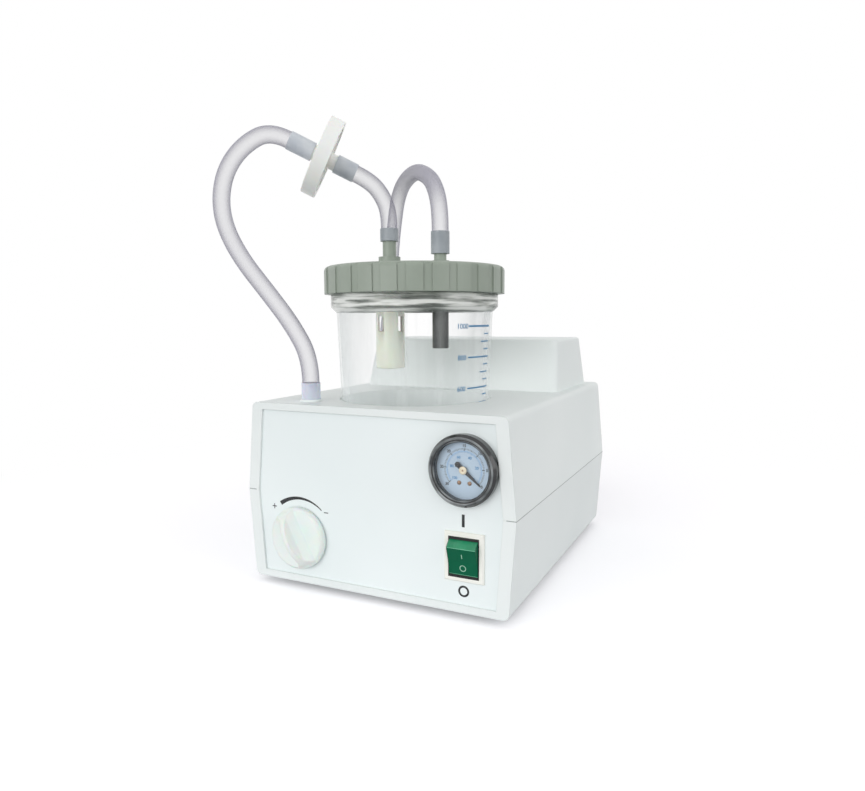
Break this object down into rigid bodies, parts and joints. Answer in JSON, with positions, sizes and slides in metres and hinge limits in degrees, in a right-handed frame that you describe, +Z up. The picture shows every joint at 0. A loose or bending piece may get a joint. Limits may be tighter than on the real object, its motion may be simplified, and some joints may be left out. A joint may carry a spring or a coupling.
{
  "type": "vacuum aspirator",
  "caption": "Portable suction unit: a white two-shell case with a gauge, rocker switch and regulator knob, a lidded clear bottle in its top, hoses and a disc filter.",
  "frame": {"origin": "on the surface that the feet stand on, under the middle of the object without its hoses", "axes": "+X to the right seen from the front, +Y to the back, +Z up; the front panel faces -Y"},
  "size_m": [0.2247, 0.4308, 0.3268],
  "materials": {
    "white_abs": "satin moulded ABS",
    "panel_white": "satin sheet",
    "clear_bottle": "clear moulded polycarbonate",
    "cap_grey": "satin moulded",
    "cream_plastic": "translucent",
    "dark_plastic": "satin",
    "black_gloss": "gloss",
    "green_gloss": "gloss",
    "knob_white": "semi-gloss",
    "hose_clear": "translucent silicone",
    "sleeve_blue": "translucent soft",
    "sleeve_pale": "translucent soft",
    "filter_white": "satin",
    "filter_paper": "matt",
    "lens_clear": "clear",
    "dial_blue": "printed",
    "needle_black": "matt",
    "brass": "plain",
    "steel": "zinc plated",
    "cast_alloy": "as cast",
    "rubber_black": "matt",
    "rubber_red": "matt",
    "fan_plastic": "satin",
    "bronze": "sintered"
  },
  "bodies": {
    "casing": {"bottle": "clear_bottle", "bottle_cap": "cap_grey", "cap_gasket": "rubber_black", "casing_inlet": "cap_grey", "casing_screws": "steel", "casing_sleeve": "sleeve_pale", "exhaust_silencer": "bronze", "filter_inlet_half": "filter_white", "filter_inlet_sleeve": "sleeve_blue", "filter_membrane": "filter_paper", "filter_outlet_half": "filter_white", "filter_outlet_sleeve": "sleeve_blue", "filter_rim": "filter_white", "float_cage": "cream_plastic", "foot_screws": "steel", "front_panel": "panel_white", "fuse_holder": "dark_plastic", "gauge_bezel": "black_gloss", "gauge_case": "black_gloss", "gauge_dial": "dial_blue", "gauge_lens": "lens_clear", "gauge_movement": "brass", "gauge_spacer": "black_gloss", "hose_1": "hose_clear", "hose_2": "hose_clear", "hose_3": "hose_clear", "hose_3_coil": "hose_clear", "hose_3_connector": "cream_plastic", "inlet_tube": "dark_plastic", "lower_shell": "white_abs", "mains_inlet": "black_gloss", "mains_pins": "brass", "mains_screws": "steel", "motor_bell": "cast_alloy", "motor_stator": "steel", "mount_nuts": "steel", "panel_nuts": "brass", "patient_port": "cap_grey", "patient_sleeve": "sleeve_blue", "pump_bracket": "steel", "pump_crankcase": "cast_alloy", "pump_cylinder": "cast_alloy", "pump_head": "cast_alloy", "pump_mounts": "rubber_black", "rear_panel": "panel_white", "regulator_body": "brass", "rubber_feet": "rubber_black", "switch_housing": "panel_white", "switch_terminals": "brass", "upper_shell": "white_abs", "vacuum_lines": "rubber_black", "vacuum_port": "cap_grey", "vacuum_sleeve": "sleeve_blue"},
    "knob": {"regulator_knob": "knob_white", "regulator_spindle": "brass"},
    "rocker": {"switch_rocker": "green_gloss"},
    "needle": {"gauge_needle": "needle_black"},
    "float": {"float_body": "cream_plastic", "float_seal": "rubber_red"},
    "fan": {"cooling_fan": "fan_plastic"}
  },
  "joints": [
    {"name": "regulator_turn", "type": "hinge", "parent": "casing", "child": "knob", "pos_m": [-0.0575, -0.1185, 0.036], "axis": [0, 1, 0], "range_deg": [-8, 69]},
    {"name": "switch_rock", "type": "hinge", "parent": "casing", "child": "rocker", "pos_m": [0.0662, -0.115, 0.0398], "axis": [1, 0, 0], "range_deg": [-28, 0]},
    {"name": "gauge_reading", "type": "hinge", "parent": "casing", "child": "needle", "pos_m": [0.0663, -0.1185, 0.0949], "axis": [0, -1, 0], "range_deg": [0, 260], "stiffness_Nm_per_rad": 0.0001, "springref_deg": -34.38},
    {"name": "float_rise", "type": "slide", "parent": "casing", "child": "float", "axis": [0, 0, 1], "range_m": [0, 0.0179]},
    {"name": "fan_spin", "type": "hinge", "parent": "casing", "child": "fan", "pos_m": [0.06, 0.05, 0.07], "axis": [1, 0, 0], "continuous": true}
  ]
}
